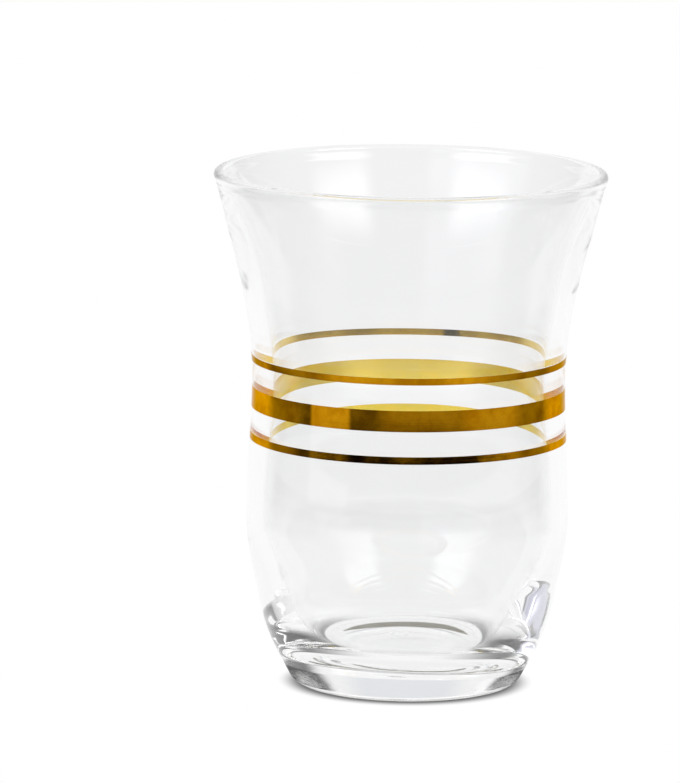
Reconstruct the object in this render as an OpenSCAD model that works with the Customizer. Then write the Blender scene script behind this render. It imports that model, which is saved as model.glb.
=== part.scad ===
// Moroccan tea glass: a clear glass tumbler with a flared mouth, a drawn-in waist, a round belly and a
// heavy floor, ringed at the waist by three lines of fired gold.
// The glass is one revolve of a wall profile. Each face of the wall is a chain of cubic curves between
// stations, and the gold is cut to that same outer face, so it follows the glass when a size changes.
// Millimetres. +Z is up, and the origin is the middle of the foot, on the surface that the glass stands on.

/* [Overall] */
// Height from the foot to the top of the lip
height = 84; // [76:1:96]

/* [Mouth] */
// Diameter across the outside of the lip
mouth_d = 63.7; // [58:0.5:72]
// Angle from the vertical at which the wall reaches the lip
flare_angle = 13.8; // [4:0.2:22]
// Thickness of the lip, which the flame has rounded to a full bead
lip_t = 1.75; // [1.2:0.05:2.6]
// How far the bead stands out from each face of the wall below it
lip_swell = 0.12; // [0.02:0.02:0.3]
// Length of wall over which the bead swells
lip_blend_h = 1.6; // [0.8:0.1:4]

/* [Waist and belly] */
// Outside diameter at the waist
waist_d = 50.7; // [46:0.5:54]
// Height of the waist
waist_z = 50; // [44:0.5:58]
// Outside diameter at the belly
belly_d = 52.3; // [50:0.5:60]
// Height of the belly
belly_z = 27.5; // [24:0.5:34]

/* [Lower body and foot] */
// Outside diameter where the side turns from the belly to the heel
turn_d = 48; // [45:0.5:51]
// Height of that turn
turn_z = 14; // [11:0.5:18]
// Angle from the vertical of the side at that turn
turn_angle = 11.4; // [4:0.2:18]
// Outside diameter at the heel, the mould line above the sole
heel_d = 42.1; // [39:0.5:44]
// Height of the heel
heel_z = 5.5; // [4.5:0.1:8]
// Angle from the vertical of the side just above the heel
heel_angle = 28.3; // [15:0.2:38]
// Angle from the vertical of the sole's side, below the heel
sole_angle = 28; // [15:0.5:40]
// Radius that rounds the sole into the foot
foot_fillet = 2.9; // [1.5:0.1:4]
// Width of the flat ring that the glass stands on
foot_ring_w = 2; // [1:0.1:4]
// Rise of the hollow underside at its middle
punt_h = 1; // [0.4:0.1:2.5]

/* [Wall and floor] */
// Height of the neck, above which the wall thins towards the lip
neck_z = 63; // [58:0.5:68]
// Wall at the neck
neck_wall = 3; // [2:0.1:3.6]
// Angle from the vertical of the inside at the neck
neck_angle = 11.8; // [8:0.2:15]
// Wall at the waist
waist_wall = 3.3; // [2:0.1:4.5]
// Angle from the vertical of the inside at the waist, where it already opens towards the mouth
waist_angle = 1.4; // [0:0.2:4]
// Wall at the belly
belly_wall = 2.9; // [2:0.1:4.5]
// Height at which the inside starts to turn in from the wall to the floor
bowl_z = 15; // [12:0.5:20]
// Wall at that height
bowl_wall = 4.2; // [2.5:0.1:5.5]
// Angle from the vertical of the inside at that height
bowl_angle = 20.8; // [6:0.5:26]
// Thickness of glass from the foot up to the floor of the hollow
floor_t = 5.8; // [4.5:0.1:9]
// Diameter of the level part of that floor
floor_d = 16; // [6:0.5:22]
// Diameter of the small rise that the plunger leaves in the middle of the floor
nub_d = 3.6; // [2:0.2:5]
// Height of that rise
nub_h = 0.3; // [0.1:0.05:0.8]

/* [Gold lines] */
// Height of the upper line's middle
upper_line_z = 53.6; // [51.5:0.1:60]
// Width of the upper line
upper_line_w = 1.1; // [0.6:0.1:2]
// Height of the wide band's middle
wide_band_z = 47.2; // [45.5:0.1:49]
// Width of the wide band
wide_band_w = 3.4; // [1.5:0.1:5]
// Height of the lower line's middle
lower_line_z = 40.9; // [34:0.1:43]
// Width of the lower line
lower_line_w = 1.2; // [0.6:0.1:2]
// Thickness of the fired gold on the glass
gold_t = 0.1; // [0.05:0.01:0.3]

/* [Hidden] */

// Fineness of the turned faces, and points on each stretch of the profile
$fn = 180;
side_points = 12;
blend_points = 6;
fillet_points = 7;
bowl_points = 18;
punt_points = 10;
nub_points = 6;

// How far the bowl's curve keeps to the wall and to the floor before it turns, as shares of its run
bowl_wall_share = 0.8;
bowl_floor_share = 0.6;

// The lip is a circle in section, and the two faces of the wall meet it along a diameter
lip_r = lip_t / 2;
lip_middle = [mouth_d / 2 - lip_r, height - lip_r];
lip_outwards = [cos(flare_angle), -sin(flare_angle)];
flare_slope = tan(flare_angle);

// A station is [radius, height, slope], where slope is the change of radius with height
heel = [heel_d / 2, heel_z, tan(heel_angle)];
turn = [turn_d / 2, turn_z, tan(turn_angle)];
belly = [belly_d / 2, belly_z, 0];
waist = [waist_d / 2, waist_z, 0];
lip_outside = [each lip_middle + (lip_r - lip_swell) * lip_outwards, flare_slope];
inner_bowl = [outer_radius(bowl_z) - bowl_wall, bowl_z, tan(bowl_angle)];
inner_belly = [belly_d / 2 - belly_wall, belly_z, 0];
inner_waist = [waist_d / 2 - waist_wall, waist_z, tan(waist_angle)];
inner_neck = [outer_radius(neck_z) - neck_wall, neck_z, tan(neck_angle)];
lip_inside = [each lip_middle - (lip_r - lip_swell) * lip_outwards, flare_slope];

// Foot: the sole's side is a cone from the heel, and a fillet brings it round to the standing ring
sole_slope = tan(sole_angle);
sole_r_on_ground = heel.x - heel.y * sole_slope;
fillet_middle = [sole_r_on_ground - foot_fillet * tan((90 - sole_angle) / 2), foot_fillet];
punt_r = fillet_middle.x - foot_ring_w;

// Radius at height z on the cubic curve between two stations
function curve_radius(low, high, z) =
    let (span = high.y - low.y, t = (z - low.y) / span)
    low.x * (1 + 2 * t) * pow(1 - t, 2)
    + low.z * span * t * pow(1 - t, 2)
    + high.x * (3 - 2 * t) * pow(t, 2)
    - high.z * span * (1 - t) * pow(t, 2);

// Radius of the outer face at a height between the heel and the lip
function outer_radius(z) =
    z < turn.y ? curve_radius(heel, turn, z)
    : z < belly.y ? curve_radius(turn, belly, z)
    : z < waist.y ? curve_radius(belly, waist, z)
    : curve_radius(waist, lip_outside, z);

// Smooth step from 0 to 1
function ease(t) = (3 - 2 * t) * pow(t, 2);

// Points up a side from one height to another, on the curve between two stations. They stop short
// of the upper height, where the next stretch starts.
function side(low, high, from_z, to_z, count) =
    [for (i = [0 : count - 1])
        let (z = from_z + (to_z - from_z) * i / count)
        [curve_radius(low, high, z), z]];

// The last stretch below the lip, where the face swells by the given amount to meet the bead. It
// ends on the bead, square to the diameter that the two faces share.
function lip_swelling(low, high, swell) =
    [for (i = [0 : blend_points])
        let (z = high.y - lip_blend_h * (1 - i / blend_points))
        [curve_radius(low, high, z), z] + swell * ease(i / blend_points) * lip_outwards];

outer_side = [
    each side(heel, turn, heel.y, turn.y, side_points),
    each side(turn, belly, turn.y, belly.y, side_points),
    each side(belly, waist, belly.y, waist.y, side_points),
    each side(waist, lip_outside, waist.y, lip_outside.y - lip_blend_h, 2 * side_points),
    each lip_swelling(waist, lip_outside, lip_swell)
];

inner_side = [
    each side(inner_bowl, inner_belly, inner_bowl.y, inner_belly.y, side_points),
    each side(inner_belly, inner_waist, inner_belly.y, inner_waist.y, side_points),
    each side(inner_waist, inner_neck, inner_waist.y, inner_neck.y, side_points),
    each side(inner_neck, lip_inside, inner_neck.y, lip_inside.y - lip_blend_h, side_points),
    each lip_swelling(inner_neck, lip_inside, -lip_swell)
];

foot_fillet_points = [
    for (i = [0 : fillet_points])
        let (angle = -90 + (90 - sole_angle) * i / fillet_points)
        fillet_middle + foot_fillet * [cos(angle), sin(angle)]
];

// Underside: a shallow dome inside the standing ring
punt_sphere_r = (pow(punt_r, 2) + pow(punt_h, 2)) / (2 * punt_h);
punt = [
    for (i = [0 : punt_points])
        let (r = punt_r * i / punt_points)
        [r, punt_h - punt_sphere_r + sqrt(pow(punt_sphere_r, 2) - pow(r, 2))]
];

// Bowl: from the level floor round to the wall, as a cubic curve that leaves the floor level and meets
// the wall at the wall's own angle
bowl_ends = [
    [floor_d / 2, floor_t],
    [floor_d / 2 + bowl_floor_share * (inner_bowl.x - floor_d / 2), floor_t],
    [inner_bowl.x, inner_bowl.y] - bowl_wall_share * (inner_bowl.y - floor_t) * [inner_bowl.z, 1],
    [inner_bowl.x, inner_bowl.y]
];
bowl = [
    for (i = [0 : bowl_points - 1])
        let (t = i / bowl_points)
        pow(1 - t, 3) * bowl_ends[0]
        + 3 * t * pow(1 - t, 2) * bowl_ends[1]
        + 3 * pow(t, 2) * (1 - t) * bowl_ends[2]
        + pow(t, 3) * bowl_ends[3]
];
nub = [
    for (i = [0 : nub_points])
        [nub_d / 2 * i / nub_points, floor_t + nub_h * (1 - ease(i / nub_points))]
];

// Section of the glass as if it were solid, out to its outer face
module filled_section() {
    polygon([
        each punt,
        each foot_fillet_points,
        each outer_side,
        [0, outer_side[len(outer_side) - 1].y]
    ]);
}

// Section of the hollow, up to the diameter of the lip where the two faces meet
module hollow_section() {
    polygon([
        each nub,
        each bowl,
        each inner_side,
        outer_side[len(outer_side) - 1],
        outer_side[len(outer_side) - 1] + [0, mouth_d],
        [0, outer_side[len(outer_side) - 1].y + mouth_d]
    ]);
}

// Section of a gold line: the outer face again, moved out by the gold's thickness
module gold_section(middle_z, width) {
    difference() {
        intersection() {
            translate([gold_t, 0])
                filled_section();
            translate([0, middle_z - width / 2])
                square([mouth_d, width]);
        }
        filled_section();
        square([gold_t, height]);
    }
}

module glass_body() {
    color([0.9, 0.94, 0.93, 0.35])
        rotate_extrude() {
            difference() {
                filled_section();
                hollow_section();
            }
            translate(lip_middle)
                circle(r = lip_r);
        }
}

module upper_gold_line() {
    color([0.76, 0.56, 0.2])
        rotate_extrude()
            gold_section(upper_line_z, upper_line_w);
}

module wide_gold_band() {
    color([0.76, 0.56, 0.2])
        rotate_extrude()
            gold_section(wide_band_z, wide_band_w);
}

module lower_gold_line() {
    color([0.76, 0.56, 0.2])
        rotate_extrude()
            gold_section(lower_line_z, lower_line_w);
}

glass_body();
upper_gold_line();
wide_gold_band();
lower_gold_line();
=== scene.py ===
# %% [markdown]
# A Moroccan tea glass: a pressed tumbler of clear glass with a flared mouth, a drawn-in waist, a round
# belly and a heavy floor. Three lines of bright gold are painted round the waist and fired on.
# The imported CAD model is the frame. This script dresses it for the picture: it turns a finer glass and
# finer gold on the same centre line, and lays out the white table and the studio of the shot.

# %% Load the CAD model
import math

import bpy
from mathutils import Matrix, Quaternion, Vector


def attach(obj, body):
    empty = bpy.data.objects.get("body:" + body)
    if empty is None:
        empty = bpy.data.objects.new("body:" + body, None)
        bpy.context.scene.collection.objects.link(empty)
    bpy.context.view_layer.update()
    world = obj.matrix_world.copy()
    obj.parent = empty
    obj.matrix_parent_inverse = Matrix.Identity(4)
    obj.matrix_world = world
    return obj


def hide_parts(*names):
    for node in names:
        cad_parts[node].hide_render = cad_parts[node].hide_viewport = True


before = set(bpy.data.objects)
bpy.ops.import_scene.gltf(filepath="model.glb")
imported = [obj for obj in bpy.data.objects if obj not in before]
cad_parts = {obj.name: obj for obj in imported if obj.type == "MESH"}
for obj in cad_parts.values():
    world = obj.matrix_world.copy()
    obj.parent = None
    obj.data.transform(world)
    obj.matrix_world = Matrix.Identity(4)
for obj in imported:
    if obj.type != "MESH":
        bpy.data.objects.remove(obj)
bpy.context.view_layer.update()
print("CAD nodes:", sorted(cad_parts))

# %% [markdown]
# The glass was pressed between an outer mould and a plunger, so both of its faces are surfaces of
# revolution. We could lathe a curve with a Screw modifier, but a section that is drawn point by point and
# spun in edit mode keeps each station of the mould where the CAD has it, and stays editable on the way.
# Every station below is a radius and a height in millimetres, and the slope of the face there.

# %% The stations of the two faces
MM = 0.001
HEIGHT = 84.0
MOUTH_R = 31.85
FLARE_ANGLE = 13.8
LIP_R = 0.875
LIP_SWELL = 0.12
LIP_BLEND_H = 1.6
NECK_Z = 63.0
NECK_WALL = 3.0
NECK_ANGLE = 11.8
WAIST_WALL = 3.3
WAIST_ANGLE = 1.4
BELLY_WALL = 2.9
BOWL_Z = 15.0
BOWL_WALL = 4.2
BOWL_ANGLE = 20.8
SOLE_ANGLE = 28.0
FOOT_FILLET = 2.9
FOOT_RING_W = 2.0
PUNT_H = 1.0
FLOOR_T = 5.8
FLOOR_R = 8.0
NUB_R = 1.8
NUB_H = 0.3
BOWL_WALL_SHARE = 0.8
BOWL_FLOOR_SHARE = 0.6


def slope_of(degrees):
    return math.tan(math.radians(degrees))


HEEL = (21.05, 5.5, slope_of(28.3))
TURN = (24.0, 14.0, slope_of(11.4))
BELLY = (26.15, 27.5, 0.0)
WAIST = (25.35, 50.0, 0.0)
INNER_BELLY = (BELLY[0] - BELLY_WALL, BELLY[1], 0.0)
INNER_WAIST = (WAIST[0] - WAIST_WALL, WAIST[1], slope_of(WAIST_ANGLE))
LIP_MIDDLE = Vector((MOUTH_R - LIP_R, HEIGHT - LIP_R))
LIP_OUTWARDS = Vector((math.cos(math.radians(FLARE_ANGLE)), -math.sin(math.radians(FLARE_ANGLE))))
lip_reach = (LIP_R - LIP_SWELL) * LIP_OUTWARDS
LIP_OUTSIDE = (*(LIP_MIDDLE + lip_reach), slope_of(FLARE_ANGLE))
LIP_INSIDE = (*(LIP_MIDDLE - lip_reach), slope_of(FLARE_ANGLE))
OUTER_STATIONS = (HEEL, TURN, BELLY, WAIST, LIP_OUTSIDE)
print("outer stations, radius and height:", [(round(s[0], 2), round(s[1], 2)) for s in OUTER_STATIONS])

# %% [markdown]
# Between two stations a face follows the one cubic curve that leaves the first and meets the second at
# their own slopes. The outside must stay smooth past each station, because a kink would show as a hard
# line in every reflection.

# %% Radius of a face at a height
def radius_between(low, high, z):
    """Radius at height z on the cubic curve between two stations"""
    span = high[1] - low[1]
    t = (z - low[1]) / span
    return (
        low[0] * (1 + 2 * t) * (1 - t) ** 2
        + low[2] * span * t * (1 - t) ** 2
        + high[0] * (3 - 2 * t) * t ** 2
        - high[2] * span * (1 - t) * t ** 2
    )


def face_radius(stations, z):
    """Radius at height z on the face that runs through the stations"""
    for low, high in zip(stations[:-1], stations[1:]):
        if z <= high[1]:
            return radius_between(low, high, z)
    return stations[-1][0]


def ease(t):
    """Smooth step from 0 to 1"""
    return (3 - 2 * t) * t ** 2


def shares(count):
    """Even shares from 0 up to, and not with, 1"""
    return [i / count for i in range(count)]


INNER_BOWL = (face_radius(OUTER_STATIONS, BOWL_Z) - BOWL_WALL, BOWL_Z, slope_of(BOWL_ANGLE))
INNER_NECK = (face_radius(OUTER_STATIONS, NECK_Z) - NECK_WALL, NECK_Z, slope_of(NECK_ANGLE))
INNER_STATIONS = (INNER_BOWL, INNER_BELLY, INNER_WAIST, INNER_NECK, LIP_INSIDE)
print("inside of the bowl starts at:", [round(v, 2) for v in INNER_BOWL[:2]], "mm")
print("inside of the neck starts at:", [round(v, 2) for v in INNER_NECK[:2]], "mm")

# %% [markdown]
# Now the section is written as one line of points. It starts under the foot on the centre line, goes up
# the outside and over the lip, and comes down the inside to the middle of the hollow's floor, where the
# plunger left a small rise. The lip is a full bead, because the rim was melted round in a flame.

# %% The section of the glass
SIDE_STEP = 0.7
SMALL_POINTS = 10
BEAD_POINTS = 28
BOWL_POINTS = 40


def side(stations, top_z):
    """Points up a face, from the first station to just below top_z"""
    points = []
    ends = [station[1] for station in stations[:-1]] + [top_z]
    for from_z, to_z in zip(ends[:-1], ends[1:]):
        for share in shares(math.ceil((to_z - from_z) / SIDE_STEP)):
            z = from_z + (to_z - from_z) * share
            points.append((face_radius(stations, z), z))
    return points


def swelling(stations, swell):
    """The last stretch of a face, where it swells to meet the bead of the lip"""
    points = []
    for share in shares(SMALL_POINTS) + [1.0]:
        z = stations[-1][1] - LIP_BLEND_H * (1 - share)
        point = Vector((face_radius(stations, z), z)) + swell * ease(share) * LIP_OUTWARDS
        points.append(tuple(point))
    return points


def arc(middle, radius, from_angle, to_angle, count):
    """Points on an arc, without its two ends"""
    points = []
    for share in shares(count)[1:]:
        angle = math.radians(from_angle + (to_angle - from_angle) * share)
        points.append((middle[0] + radius * math.cos(angle), middle[1] + radius * math.sin(angle)))
    return points


sole_r_on_ground = HEEL[0] - HEEL[1] * slope_of(SOLE_ANGLE)
fillet_middle = (sole_r_on_ground - FOOT_FILLET * slope_of((90 - SOLE_ANGLE) / 2), FOOT_FILLET)
punt_r = fillet_middle[0] - FOOT_RING_W
punt_sphere_r = (punt_r ** 2 + PUNT_H ** 2) / (2 * PUNT_H)
punt_drop = PUNT_H - punt_sphere_r
punt = []
for share in shares(SMALL_POINTS) + [1.0]:
    r = punt_r * share
    punt.append((r, punt_drop + math.sqrt(punt_sphere_r ** 2 - r ** 2)))

ring_and_fillet = [(fillet_middle[0], 0.0)]
ring_and_fillet += arc(fillet_middle, FOOT_FILLET, -90, -SOLE_ANGLE, SMALL_POINTS)
fillet_end_angle = math.radians(SOLE_ANGLE)
ring_and_fillet.append((
    fillet_middle[0] + FOOT_FILLET * math.cos(fillet_end_angle),
    fillet_middle[1] - FOOT_FILLET * math.sin(fillet_end_angle),
))

bowl_run = INNER_BOWL[0] - FLOOR_R
bowl_rise = INNER_BOWL[1] - FLOOR_T
bowl_top = Vector(INNER_BOWL[:2])
bowl_ends = (
    Vector((FLOOR_R, FLOOR_T)),
    Vector((FLOOR_R + BOWL_FLOOR_SHARE * bowl_run, FLOOR_T)),
    bowl_top - BOWL_WALL_SHARE * bowl_rise * Vector((INNER_BOWL[2], 1.0)),
    bowl_top,
)
bowl = []
for t in shares(BOWL_POINTS):
    point = (
        (1 - t) ** 3 * bowl_ends[0]
        + 3 * t * (1 - t) ** 2 * bowl_ends[1]
        + 3 * t ** 2 * (1 - t) * bowl_ends[2]
        + t ** 3 * bowl_ends[3]
    )
    bowl.append(tuple(point))

nub = [(NUB_R * share, FLOOR_T + NUB_H * (1 - ease(share))) for share in shares(SMALL_POINTS) + [1.0]]

outside = side(OUTER_STATIONS, LIP_OUTSIDE[1] - LIP_BLEND_H) + swelling(OUTER_STATIONS, LIP_SWELL)
inside = side(INNER_STATIONS, LIP_INSIDE[1] - LIP_BLEND_H) + swelling(INNER_STATIONS, -LIP_SWELL)
bead = arc(LIP_MIDDLE, LIP_R, -FLARE_ANGLE, 180 - FLARE_ANGLE, BEAD_POINTS)
glass_section = punt + ring_and_fillet + outside + bead + inside[::-1] + bowl[::-1] + nub[::-1]
print("points in the section of the glass:", len(glass_section))

# %% [markdown]
# A section becomes a body in two moves of the hand. A tiny plane is merged to a single point and that
# point is extruded along the section, one step at a time. Then the line is spun a full turn about the
# centre line. The spin leaves doubles at the seam and on the axis, so they are merged, and the normals
# are recalculated so that every face looks outwards.

# %% Draw a line and spin it
TURN_STEPS = 288
MERGE_DISTANCE = 1e-6


def draw_line(name, points):
    """A new mesh, left in edit mode, that is one line through points in millimetres, in the X-Z plane"""
    bpy.ops.object.select_all(action="DESELECT")
    first = Vector((points[0][0], 0, points[0][1])) * MM
    bpy.ops.mesh.primitive_plane_add(size=MM, location=first)
    line = bpy.context.object
    line.name = name
    line.data.name = name
    bpy.ops.object.transform_apply(location=True, rotation=True, scale=True)
    bpy.ops.object.mode_set(mode="EDIT")
    bpy.ops.mesh.select_all(action="SELECT")
    bpy.ops.mesh.merge(type="CENTER")
    bpy.ops.mesh.select_mode(type="VERT")
    for (from_r, from_z), (to_r, to_z) in zip(points[:-1], points[1:]):
        step = Vector((to_r - from_r, 0, to_z - from_z)) * MM
        bpy.ops.mesh.extrude_region_move(TRANSFORM_OT_translate={"value": step})
    return line


def spin_line(line):
    """Spins the line that is being edited into a closed body of revolution"""
    bpy.ops.mesh.select_all(action="SELECT")
    bpy.ops.mesh.spin(steps=TURN_STEPS, angle=2 * math.pi, center=(0, 0, 0), axis=(0, 0, 1))
    bpy.ops.mesh.select_all(action="SELECT")
    bpy.ops.mesh.remove_doubles(threshold=MERGE_DISTANCE)
    bpy.ops.mesh.normals_make_consistent(inside=False)
    bpy.ops.object.mode_set(mode="OBJECT")
    bpy.ops.object.shade_smooth()
    return line


def open_edges(piece):
    """How many edges don't join two faces, which is none on a closed body"""
    faces_on = {}
    for face in piece.data.polygons:
        for key in face.edge_keys:
            faces_on[key] = faces_on.get(key, 0) + 1
    return sum(1 for count in faces_on.values() if count != 2)


tea_glass = spin_line(draw_line("tea_glass", glass_section))
print("glass:", len(tea_glass.data.polygons), "faces,", open_edges(tea_glass), "open edges")

# %% [markdown]
# In a real press the plunger is never quite true. The photo shows it in the floor, where the light bends
# differently on the left and on the right. So the bottom of the hollow is picked, moved a little to the
# left and tilted about the middle of the floor. Proportional editing carries the rest of the hollow along,
# less and less with distance, which leaves no crease where the picked part ends.

# %% Set the hollow askew
HOLLOW_MARGIN = 0.3
PICK_FROM_Z = 4.8
PICK_TO_Z = 12.0
BOWL_SHIFT = -0.9
FLOOR_TILT = -2.5
LEAN_REACH = 16.0


def in_hollow(place):
    """Whether a place, in millimetres, is on the inner face of the glass"""
    inner_r = face_radius(INNER_STATIONS, max(place.z, BOWL_Z)) + HOLLOW_MARGIN
    return math.hypot(place.x, place.y) < inner_r and place.z > FLOOR_T - HOLLOW_MARGIN


def lean_hollow(glass):
    """Moves and tilts the bottom of the hollow, and says how many vertices it picked"""
    bpy.ops.object.mode_set(mode="EDIT")
    bpy.ops.mesh.select_mode(type="VERT")
    bpy.ops.mesh.select_all(action="DESELECT")
    bpy.ops.object.mode_set(mode="OBJECT")
    picked = 0
    for vertex in glass.data.vertices:
        place = vertex.co / MM
        vertex.select = in_hollow(place) and PICK_FROM_Z < place.z < PICK_TO_Z
        picked += vertex.select
    softly = {
        "use_proportional_edit": True,
        "proportional_edit_falloff": "SMOOTH",
        "proportional_size": LEAN_REACH * MM,
        "use_proportional_connected": True,
    }
    bpy.ops.object.mode_set(mode="EDIT")
    bpy.ops.transform.translate(value=(BOWL_SHIFT * MM, 0, 0), **softly)
    tilt = math.radians(FLOOR_TILT)
    floor_middle = (0, 0, FLOOR_T * MM)
    bpy.ops.transform.rotate(value=tilt, orient_axis="Y", center_override=floor_middle, **softly)
    bpy.ops.object.mode_set(mode="OBJECT")
    return picked


print("picked in the hollow:", lean_hollow(tea_glass), "of", len(tea_glass.data.vertices), "vertices")

# %% [markdown]
# The gold is a film of liquid gold, painted on while the glass turned on a wheel and then fired. It is
# far thinner than the CAD ring, but it needs two faces, because we see its bright outside and, through
# the glass, its back. So each line is a closed ring that stands a hair off the glass. Its long edges are
# marked sharp, because normals that are smoothed round a thin edge draw a false bright line along it.

# %% Turn the three gold lines
UPPER_LINE = (53.6, 1.1)
WIDE_BAND = (47.2, 3.4)
LOWER_LINE = (40.9, 1.2)
GOLD_T = 0.03
GOLD_GAP = 0.006
GOLD_ROWS = 12
GOLD_SHARP = 60


def gold_ring(name, middle_z, width):
    """A ring of gold on the outer face of the glass, by the height of its middle and its width"""
    heights = [middle_z - width / 2 + width * share for share in shares(GOLD_ROWS) + [1.0]]
    back = [(face_radius(OUTER_STATIONS, z) + GOLD_GAP, z) for z in heights]
    front = [(face_radius(OUTER_STATIONS, z) + GOLD_T, z) for z in reversed(heights)]
    ring = spin_line(draw_line(name, back + front + back[:1]))
    bpy.ops.object.mode_set(mode="EDIT")
    bpy.ops.mesh.select_mode(type="EDGE")
    bpy.ops.mesh.select_all(action="DESELECT")
    bpy.ops.mesh.edges_select_sharp(sharpness=math.radians(GOLD_SHARP))
    bpy.ops.mesh.mark_sharp()
    bpy.ops.mesh.select_mode(type="VERT")
    bpy.ops.object.mode_set(mode="OBJECT")
    print(name, len(ring.data.polygons), "faces,", open_edges(ring), "open edges")
    return ring


upper_gold = gold_ring("upper_gold_ring", *UPPER_LINE)
wide_gold = gold_ring("wide_gold_ring", *WIDE_BAND)
lower_gold = gold_ring("lower_gold_ring", *LOWER_LINE)
gold_rings = (upper_gold, wide_gold, lower_gold)

# %% [markdown]
# Shader maths is easier to read as a sum than as a chain of boxes. A small class wraps a socket, so that
# an expression on values adds its Math nodes, and one method adds any other node, settings first.

# %% A wrapper for shader maths
DEGREES = 180 / math.pi


class Value:
    """A number in a node tree, on which plain operators work"""

    def __init__(self, tree, socket):
        self.tree = tree
        self.socket = socket

    def maths(self, operation, *values):
        """A Math node on the values, in the tree of this one"""
        return self.tree.add("ShaderNodeMath", {"operation": operation}, dict(enumerate(values)))[0]

    def __add__(self, other):
        return self.maths("ADD", self, other)

    __radd__ = __add__

    def __mul__(self, other):
        return self.maths("MULTIPLY", self, other)

    __rmul__ = __mul__

    def __sub__(self, other):
        return self.maths("SUBTRACT", self, other)

    def __rsub__(self, other):
        return self.maths("SUBTRACT", other, self)

    def __truediv__(self, other):
        return self.maths("DIVIDE", self, other)

    def __pow__(self, other):
        return self.maths("POWER", self, other)

    def __abs__(self):
        return self.maths("ABSOLUTE", self)

    def blend(self, other, share):
        """This value where share is 0, and the other where it is 1"""
        return self * (1 - share) + other * share


class Nodes:
    """A node tree that is built by calls"""

    def __init__(self, owner):
        owner.use_nodes = True
        self.tree = owner.node_tree
        self.tree.nodes.clear()

    def add(self, kind, settings=None, sockets=None):
        """Adds a node and returns its outputs: settings go in first, then values or links of its sockets"""
        node = self.tree.nodes.new(kind)
        for name, value in (settings or {}).items():
            setattr(node, name, value)
        for name, value in (sockets or {}).items():
            if isinstance(value, Value):
                self.tree.links.new(value.socket, node.inputs[name])
            else:
                node.inputs[name].default_value = value
        outputs = {}
        for place, socket in enumerate(node.outputs):
            outputs[place] = Value(self, socket)
            outputs[socket.name] = outputs[place]
        return outputs

    def step(self, value, middle, width):
        """Rises smoothly from 0 to 1 over a width about the middle"""
        limits = {"Value": value, "From Min": middle - width / 2, "From Max": middle + width / 2}
        return self.add("ShaderNodeMapRange", {"interpolation_type": "SMOOTHSTEP"}, limits)[0]

    def window(self, value, low, high, width):
        """1 between low and high, and 0 outside, with soft ends"""
        return self.step(value, low, width) * (1 - self.step(value, high, width))

    def noise(self, where, scale, detail=2.0, roughness=0.5):
        """Cloudy noise, mostly between 0.3 and 0.7"""
        sockets = {"Vector": where, "Scale": scale, "Detail": detail, "Roughness": roughness}
        return self.add("ShaderNodeTexNoise", None, sockets)[0]

    def colour_mix(self, share, first, second):
        """The first colour where share is 0, and the second where it is 1"""
        sockets = {0: share, 6: first, 7: second}
        return self.add("ShaderNodeMix", {"data_type": "RGBA"}, sockets)[2]

    def stretched(self, where, scale):
        """A place with each of its three parts multiplied"""
        return self.add("ShaderNodeMapping", None, {"Vector": where, "Scale": scale})[0]

    def object_place(self):
        """The place of a point on the object, in metres"""
        return self.add("ShaderNodeTexCoord")["Object"]

    def split(self, vector):
        """The X, Y and Z of a vector"""
        parts = self.add("ShaderNodeSeparateXYZ", None, {0: vector})
        return parts["X"], parts["Y"], parts["Z"]


def angle_round(x, y):
    """Degrees round the glass from the camera's side, with plus to the camera's right"""
    return x.maths("ARCTAN2", x, y * -1.0) * DEGREES


print("wrapper ready:", Value.__name__, "and", Nodes.__name__)

# %% [markdown]
# Clear soda-lime glass bends light by an index of 1.5. What makes it look like glass is what it shows:
# the white backdrop through it, and at its edges the dark and bright parts of the studio. The melt is
# never perfectly even, so its tint varies a little from place to place.

# %% The clear glass
GLASS_IOR = 1.5
GLASS_CLEAR = (0.965, 0.965, 0.970, 1.0)
GLASS_TINT = (0.945, 0.948, 0.947, 1.0)
TINT_SCALE = 40.0


def make_glass():
    """Clear glass with a faint, uneven tint"""
    glass = bpy.data.materials.new("clear_pressed_glass")
    nodes = Nodes(glass)
    place = nodes.object_place()
    tint = nodes.colour_mix(nodes.noise(place, TINT_SCALE), GLASS_CLEAR, GLASS_TINT)
    shader = nodes.add("ShaderNodeBsdfPrincipled", None, {
        "Base Color": tint,
        "Roughness": 0.0,
        "IOR": GLASS_IOR,
        "Transmission Weight": 1.0,
    })[0]
    nodes.add("ShaderNodeOutputMaterial", None, {"Surface": shader})
    return glass


clear_glass = make_glass()
tea_glass.data.materials.append(clear_glass)
print("glass material:", clear_glass.name)

# %% [markdown]
# Fired gold mirrors the studio, coloured by the metal. The brush went round the glass, so it left fine
# level lines, and the film is cloudy where the gold ran together. On the outside, the upper line and the
# middle of the lower line are painted darker, as painted shade for the dark studio they mirror, and one
# blot on the far side of the upper line is darker too. Seen through the glass, the back of the film is
# rougher, and its paler, brighter gold is painted light for the backdrop shining through the thin film.

# %% The gold, outside and back
GOLD_DEEP = (0.50, 0.20, 0.001, 1.0)
GOLD_LIGHT = (0.80, 0.37, 0.006, 1.0)
GOLD_EDGE = (0.80, 0.62, 0.30, 1.0)
GOLD_ROUGHNESS = 0.08
# The next two are painted shade: the shares by which the outside of the upper line and the middle of the
# lower line are darkened.
GOLD_UPPER_PAINTED_SHADE = 0.4
GOLD_LOWER_PAINTED_SHADE = 0.45
# The back takes paler, brighter colours, painted light for the backdrop shining through the film, and no
# painted shade.
BACK_DEEP_PAINTED_LIT = (1.0, 0.70, 0.005, 1.0)
BACK_LIGHT_PAINTED_LIT = (1.0, 0.75, 0.03, 1.0)
BACK_ROUGHNESS = 0.18
BACK_PAINTED_SHADE = 0.0
BLACK = (0.0, 0.0, 0.0, 1.0)
UPPER_LINE_FROM = (0.0515, 0.001)
LOWER_LINE_FROM = (0.0425, 0.001)
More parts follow.
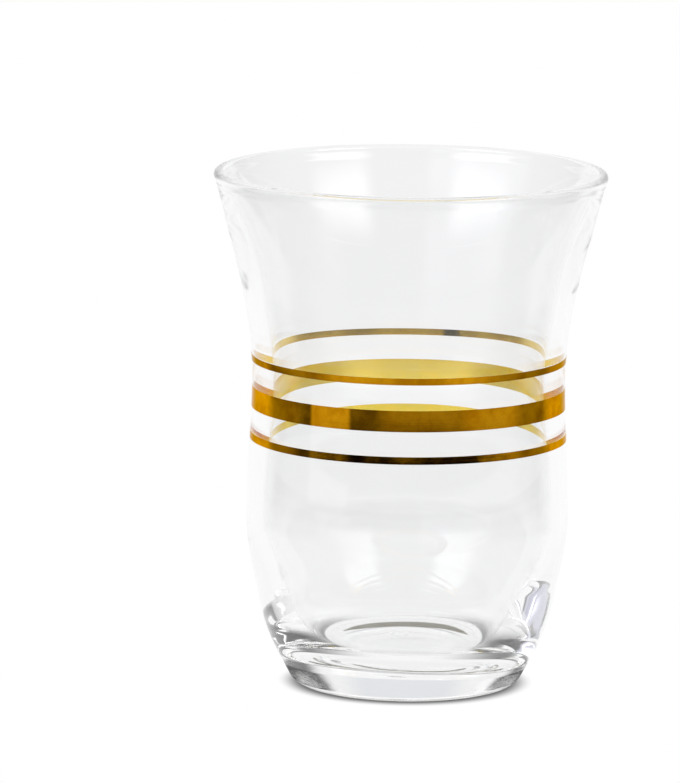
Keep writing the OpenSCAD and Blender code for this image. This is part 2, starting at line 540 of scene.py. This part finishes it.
# Where the painted shade along the lower line lies, and the darker blot, as from, to and soft ends along X.
LOWER_LINE_PAINTED_SHADE = (-0.0186, 0.0117, 0.003)
BLOT = (0.0062, 0.0092, 0.0014)
BLOT_DIM = 0.85
RAGGED = 0.001
MIDDLE = 0.5
CLOUD_SCALE = 260.0
CLOUD_DETAIL = 4.0
CLOUD_FINENESS = 0.6
CLOUD_STEP = (0.5, 0.4)
CLOUD_ROUGHNESS = 0.08
BRUSH_STRETCH = (30, 30, 9000)
BRUSH_SCALE = 1.0
BRUSH_DETAIL = 3.0
BRUSH_STRENGTH = 0.08
BRUSH_DEPTH = 0.00002


def make_gold(name, deep, light, upper_painted_shade, lower_painted_shade, roughness):
    """Gold that varies from deep to light, with painted shade on the upper line and along the middle of the
    lower line
    """
    gold = bpy.data.materials.new(name)
    nodes = Nodes(gold)
    place = nodes.object_place()
    x, y, z = nodes.split(place)
    brushed = nodes.noise(nodes.stretched(place, BRUSH_STRETCH), BRUSH_SCALE, BRUSH_DETAIL)
    cloudy = nodes.step(nodes.noise(place, CLOUD_SCALE, CLOUD_DETAIL, CLOUD_FINENESS), *CLOUD_STEP)
    uneven = cloudy - MIDDLE
    along = x + RAGGED * uneven
    blot = nodes.window(along, *BLOT) * nodes.step(y, 0.0, RAGGED)
    on_upper_line = nodes.step(z, *UPPER_LINE_FROM)
    on_lower_line = 1 - nodes.step(z, *LOWER_LINE_FROM)
    # Painted shade: the upper line and the middle of the lower line are darkened towards black, and the
    # blot further.
    dim = on_upper_line * (blot * (BLOT_DIM - upper_painted_shade) + upper_painted_shade)
    dim = dim + on_lower_line * nodes.window(along, *LOWER_LINE_PAINTED_SHADE) * lower_painted_shade
    colour = nodes.colour_mix(dim, nodes.colour_mix(cloudy, deep, light), BLACK)
    relief = {"Strength": BRUSH_STRENGTH, "Distance": BRUSH_DEPTH, "Height": brushed}
    bump = nodes.add("ShaderNodeBump", None, relief)[0]
    shader = nodes.add("ShaderNodeBsdfPrincipled", None, {
        "Base Color": colour,
        "Metallic": 1.0,
        "Specular Tint": GOLD_EDGE,
        "Roughness": roughness + CLOUD_ROUGHNESS * uneven,
        "Normal": bump,
    })[0]
    nodes.add("ShaderNodeOutputMaterial", None, {"Surface": shader})
    return gold


gold_outside = make_gold(
    "fired_gold_outside", GOLD_DEEP, GOLD_LIGHT, GOLD_UPPER_PAINTED_SHADE, GOLD_LOWER_PAINTED_SHADE, GOLD_ROUGHNESS
)
# The back of the gold: a brighter copy, with painted light for the backdrop seen through the film.
gold_back_painted_light = make_gold("fired_gold_back", BACK_DEEP_PAINTED_LIT, BACK_LIGHT_PAINTED_LIT, BACK_PAINTED_SHADE, BACK_PAINTED_SHADE, BACK_ROUGHNESS)


def gild(ring):
    """Gives a ring its two finishes: the faces that look at the centre line get the back of the gold, with
    its painted light
    """
    ring.data.materials.append(gold_outside)
    ring.data.materials.append(gold_back_painted_light)
    inwards = 0
    for face in ring.data.polygons:
        towards_axis = face.normal.x * face.center.x + face.normal.y * face.center.y < 0
        if towards_axis:
            face.material_index = 1
            inwards += 1
    print(ring.name, "back faces:", inwards, "of", len(ring.data.polygons))


for gold_line in gold_rings:
    gild(gold_line)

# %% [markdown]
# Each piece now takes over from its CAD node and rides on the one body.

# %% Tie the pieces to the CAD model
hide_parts("glass_body")
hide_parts("upper_gold_line")
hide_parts("wide_gold_band")
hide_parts("lower_gold_line")
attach(tea_glass, "root")
for gold_line in gold_rings:
    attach(gold_line, "root")
print("pieces tied:", tea_glass.name, [gold_line.name for gold_line in gold_rings])

# %% [markdown]
# The table carries a plain white sheet that runs back into a white sweep. The camera sees it white, and
# so does a ray that goes straight through the glass. A ray that was mirrored on the way sees what lay
# about the glass: the bright sheet, its dimmer edge, the bare table past it, and a grey card on each
# side. Those give the glass its dark edges and the gold its bands of light and shade. A soft shadow of
# the foot is painted into the sheet, deepest at its two sides. A value with two numbers is where a
# change lies and how wide it is; one with three is where a patch starts and ends, and how wide its soft
# ends are. Radii are in metres and angles in degrees.

# %% The white table
TABLE_SIZE = 60.0
TABLE_SWEEP = (118.0, 14.0)
MIRRORED = (0.5, 0.5)
THROWN_ABOUT = (9.5, 0.5)
THROWN_LIGHT = 0.96
SHEET_BRIGHT = (0.225, 0.03)
SHEET_EDGE = (0.30, 0.04)
SHEET_LIGHT = 0.42
SHEET_NEAR = (0.14, 0.02)
SHEET_FAR_LIGHT = 1.12
SHEET_SPOTS = (28.0, 52.0, 14.0)
SHEET_SPOT_LIGHT = 0.2
SHEET_SIDES = (62.0, 18.0)
SHEET_SIDE_DIM = 0.4
TABLE_EDGE = (0.46, 0.03)
TABLE_FAR = (0.77, 0.04)
TABLE_FAR_LIGHT = 0.42
TABLE_LIGHT = 0.13
TABLE_MIDDLE = (-19.0, 40.0, 14.0)
TABLE_MIDDLE_LIGHT = 0.28
TABLE_SIDE = (84.0, 12.0)
TABLE_SIDE_LIGHT = 0.2
LEFT_CARD = (-73.0, -42.0, 3.0)
LEFT_CARD_LIGHT = 0.72
RIGHT_CARD = (40.0, 84.0, 14.0)
RIGHT_CARD_LIGHT = 0.52
SHADOW_EDGE = (0.0188, 0.0044)
SHADOW_IN_GLASS = (0.0235, 0.005)
SHADOW_SIDE_POWER = 1.5
SHADOW_DEEPEST = 0.88
UNDER_FOOT = (0.0159, 0.0006)
UNDER_FOOT_LIGHT = 0.95


def as_white(nodes, light):
    """The light, but white to the camera and even to a ray that the glass has thrown about for long"""
    path = nodes.add("ShaderNodeLightPath")
    thrown_about = nodes.step(path["Glossy Depth"], *THROWN_ABOUT)
    light = light * (1 - thrown_about) + THROWN_LIGHT * thrown_about
    return light.blend(1.0, path["Is Camera Ray"])


def make_table():
    """The sheet, the table and the cards, as light that depends on the place and on the ray"""
    sheet = bpy.data.materials.new("white_sheet")
    nodes = Nodes(sheet)
    x, y = nodes.split(nodes.object_place())[:2]
    radius = (x * x + y * y) ** 0.5
    around = angle_round(x, y)
    aside = abs(around)
    cards = nodes.window(around, *LEFT_CARD) * LEFT_CARD_LIGHT
    cards = cards + nodes.window(around, *RIGHT_CARD) * RIGHT_CARD_LIGHT
    cards = cards + nodes.window(around, *TABLE_MIDDLE) * TABLE_MIDDLE_LIGHT
    cards = cards + nodes.step(aside, *TABLE_SIDE) * TABLE_SIDE_LIGHT + TABLE_LIGHT
    cards = cards * (1 - nodes.step(radius, *TABLE_EDGE))
    cards = cards + nodes.step(radius, *TABLE_FAR) * TABLE_FAR_LIGHT
    lit = cards.blend(SHEET_LIGHT, 1 - nodes.step(radius, *SHEET_EDGE))
    front = nodes.window(aside, *SHEET_SPOTS) * SHEET_SPOT_LIGHT + SHEET_FAR_LIGHT
    front = front - nodes.step(aside, *SHEET_SIDES) * SHEET_SIDE_DIM
    front = front.blend(1.0, 1 - nodes.step(radius, *SHEET_NEAR))
    lit = lit.blend(front, 1 - nodes.step(radius, *SHEET_BRIGHT))
    lit = lit.blend(1.0, nodes.step(aside, *TABLE_SWEEP))
    path = nodes.add("ShaderNodeLightPath")
    to_camera = path["Is Camera Ray"]
    reflected = nodes.step(path["Glossy Depth"], *MIRRORED)
    seen = as_white(nodes, lit.blend(1.0, 1 - reflected))
    # Painted shadow of the foot on the sheet, deepest at its sides; under the foot the sheet is painted a
    # steady, slightly dimmed light.
    sideways = (x * x) / (radius * radius)
    fading = nodes.step(radius, *SHADOW_EDGE)
    fading = fading.blend(nodes.step(radius, *SHADOW_IN_GLASS), reflected)
    strength = (sideways ** SHADOW_SIDE_POWER).blend(1.0, to_camera)
    shade = 1 - (1 - fading) * strength * SHADOW_DEEPEST
    under = 1 - nodes.step(radius, *UNDER_FOOT)
    shade = shade.blend(UNDER_FOOT_LIGHT, under)
    glow = nodes.add("ShaderNodeEmission", None, {"Strength": seen * shade})[0]
    nodes.add("ShaderNodeOutputMaterial", None, {"Surface": glow})
    return sheet


bpy.ops.object.select_all(action="DESELECT")
bpy.ops.mesh.primitive_plane_add(size=TABLE_SIZE)
table = bpy.context.object
table.name = "table"
table.data.materials.append(make_table())
print("table:", TABLE_SIZE, "m square")

# %% [markdown]
# A glass is lit by what surrounds it. Behind it hangs the white sweep, a little askew and dimmer high
# above its middle. In front the studio is dark, with one softbox high on each side, a cool window low on
# the left and a dim, warm ceiling. Directions are told as an angle round from the camera and a height, in
# degrees. A level ray that goes straight through the glass finds white on every side, as it would with a
# white card held behind the glass, so the glass looks clear from the sides and the back too.

# %% The studio
SWEEP = (140.0, 12.0)
SWEEP_TURN = 5.0
ROOM_LIGHT = 0.12
WINDOW_LIGHT = 0.72
WINDOW_COLOUR = (0.86, 0.87, 1.0, 1.0)
WINDOW_SIDES = (-80.0, -12.0, 8.0)
WINDOW_HEIGHTS = (2.0, 30.0, 6.0)
SOFTBOX_LIGHT = 3.8
SOFTBOX_SIDES = (31.0, 70.0, 15.0)
SOFTBOX_HEIGHTS = (24.0, 50.0, 14.0)
CEILING_FROM = (48.0, 12.0)
CEILING = (0.13, 0.12, 0.07, 1.0)
SWEEP_MIDDLE = (160.0, 14.0)
SWEEP_DIM_FROM = (16.0, 10.0)
SWEEP_DIM = (0.83, 0.85, 0.88, 1.0)
WHITE = (1.0, 1.0, 1.0, 1.0)
SEEN_THROUGH = (9.0, 6.0)


def make_studio():
    """The world, as light that depends on the direction and on the ray"""
    world = bpy.data.worlds.new("studio")
    bpy.context.scene.world = world
    nodes = Nodes(world)
    x, y, z = nodes.split(nodes.add("ShaderNodeTexCoord")["Generated"])
    height = z.maths("ARCSINE", z) * DEGREES
    around = angle_round(x, y)
    aside = abs(around)
    window = nodes.window(around, *WINDOW_SIDES) * nodes.window(height, *WINDOW_HEIGHTS)
    sweep = nodes.step(abs(around - SWEEP_TURN), *SWEEP)
    light = sweep * (1 - ROOM_LIGHT) + ROOM_LIGHT
    light = light.blend(WINDOW_LIGHT, window)
    softbox = nodes.window(aside, *SOFTBOX_SIDES) * nodes.window(height, *SOFTBOX_HEIGHTS)
    light = light.blend(SOFTBOX_LIGHT, softbox)
    ceiling = nodes.step(height, *CEILING_FROM) * (1 - softbox)
    light = light.blend(1.0, ceiling)
    dim = nodes.step(aside, *SWEEP_MIDDLE) * nodes.step(height, *SWEEP_DIM_FROM)
    colour = nodes.colour_mix(dim, WHITE, SWEEP_DIM)
    colour = nodes.colour_mix(window * (1 - softbox), colour, WINDOW_COLOUR)
    colour = nodes.colour_mix(ceiling, colour, CEILING)
    mirrored = nodes.step(nodes.add("ShaderNodeLightPath")["Glossy Depth"], *MIRRORED)
    level = 1 - nodes.step(abs(height), *SEEN_THROUGH)
    light = light.blend(1.0, level * (1 - mirrored))
    whiteness = as_white(nodes, 0.0)
    background = nodes.add("ShaderNodeBackground", None, {
        "Color": nodes.colour_mix(whiteness, colour, WHITE),
        "Strength": as_white(nodes, light),
    })[0]
    nodes.add("ShaderNodeOutputWorld", None, {"Surface": background})
    return world


studio = make_studio()
print("studio:", studio.name)

# %% [markdown]
# The picture was taken from well back with a long lens, a little above the glass, so that its sides
# stay almost parallel and its mouth shows as a thin ellipse. The glass stands a little right of centre.

# %% The camera
CAMERA_PLACE = Vector((0.0, -1.2597, 0.26085))
CAMERA_AIM = Vector((-0.0111, 0.0, 0.04765))
CAMERA_TILT = 0.01069
CAMERA_LENS = 362.37
CAMERA_SENSOR = 36.0
CAMERA_REACH = 100.0

camera_data = bpy.data.cameras.new("camera")
camera_data.sensor_width = CAMERA_SENSOR
camera_data.lens = CAMERA_LENS
camera_data.clip_end = CAMERA_REACH
camera = bpy.data.objects.new("camera", camera_data)
bpy.context.scene.collection.objects.link(camera)
camera.location = CAMERA_PLACE
look = (CAMERA_AIM - CAMERA_PLACE).to_track_quat("-Z", "Y")
camera.rotation_mode = "QUATERNION"
camera.rotation_quaternion = look @ Quaternion((0, 0, 1), CAMERA_TILT)
bpy.context.scene.camera = camera
print("camera:", round((CAMERA_AIM - CAMERA_PLACE).length, 2), "m from what it looks at")

# %% [markdown]
# In a thick floor a ray is thrown about many times before it gets out. With too few bounces it is lost
# and leaves a false black, so the limits are set high. Colours are shown as they are.

# %% Bounces and colours
MANY_BOUNCES = 128

scene = bpy.context.scene
scene.cycles.max_bounces = MANY_BOUNCES
scene.cycles.transmission_bounces = MANY_BOUNCES
scene.cycles.glossy_bounces = MANY_BOUNCES
scene.view_settings.view_transform = "Standard"
print("bounces:", scene.cycles.max_bounces)
